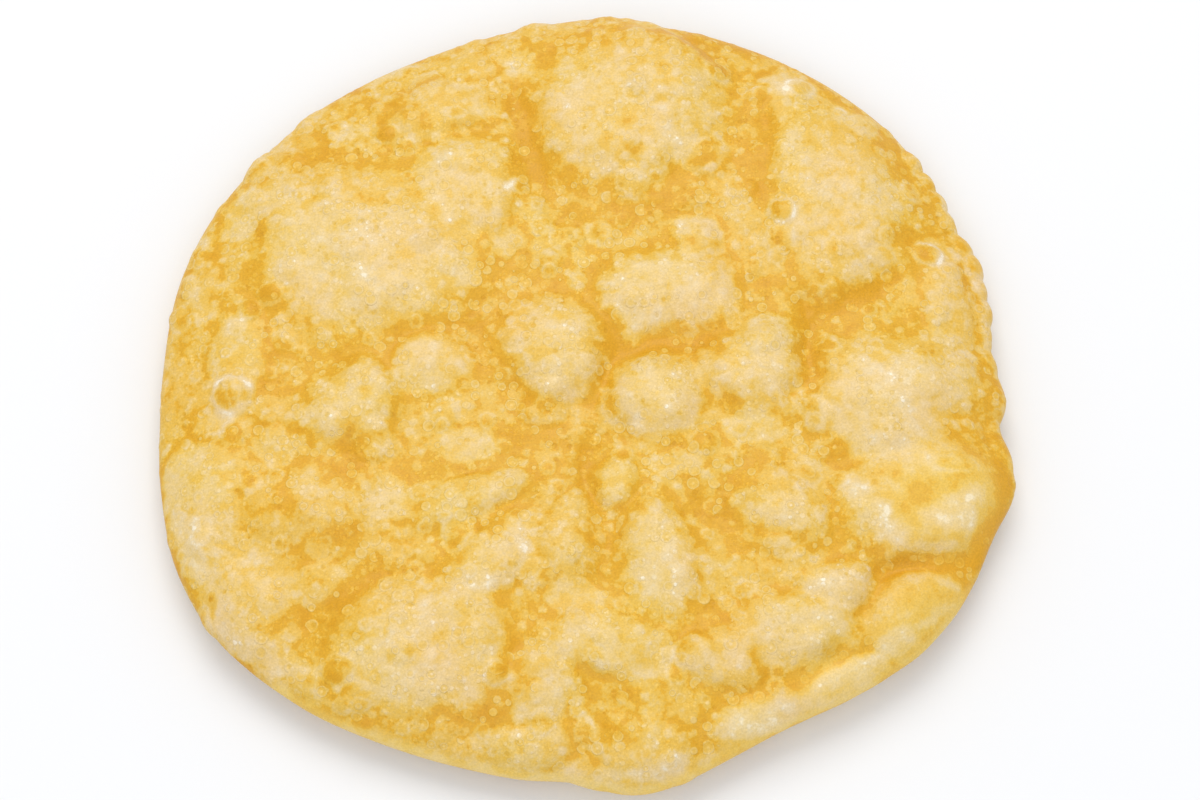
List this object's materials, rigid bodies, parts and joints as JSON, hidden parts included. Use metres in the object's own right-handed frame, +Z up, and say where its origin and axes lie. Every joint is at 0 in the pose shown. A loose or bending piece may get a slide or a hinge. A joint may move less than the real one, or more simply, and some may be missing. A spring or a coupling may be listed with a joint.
{
  "type": "puri",
  "caption": "Round, low deep-fried flatbread with an uneven, blistered, golden skin and a folded edge, lying flat.",
  "frame": {"origin": "on the surface that the bread lies on, under the middle of its outline's bounding box", "axes": "+Z up, away from the surface; +Y towards the edge with the folded-over skin; +X to the right of that, along the slightly longer width"},
  "size_m": [0.1296, 0.1277, 0.0145],
  "materials": {
    "fried_dough": "thin fried skin, golden with paler blisters, lightly oily"
  },
  "bodies": {
    "root": {"puri": "fried_dough"}
  },
  "joints": []
}
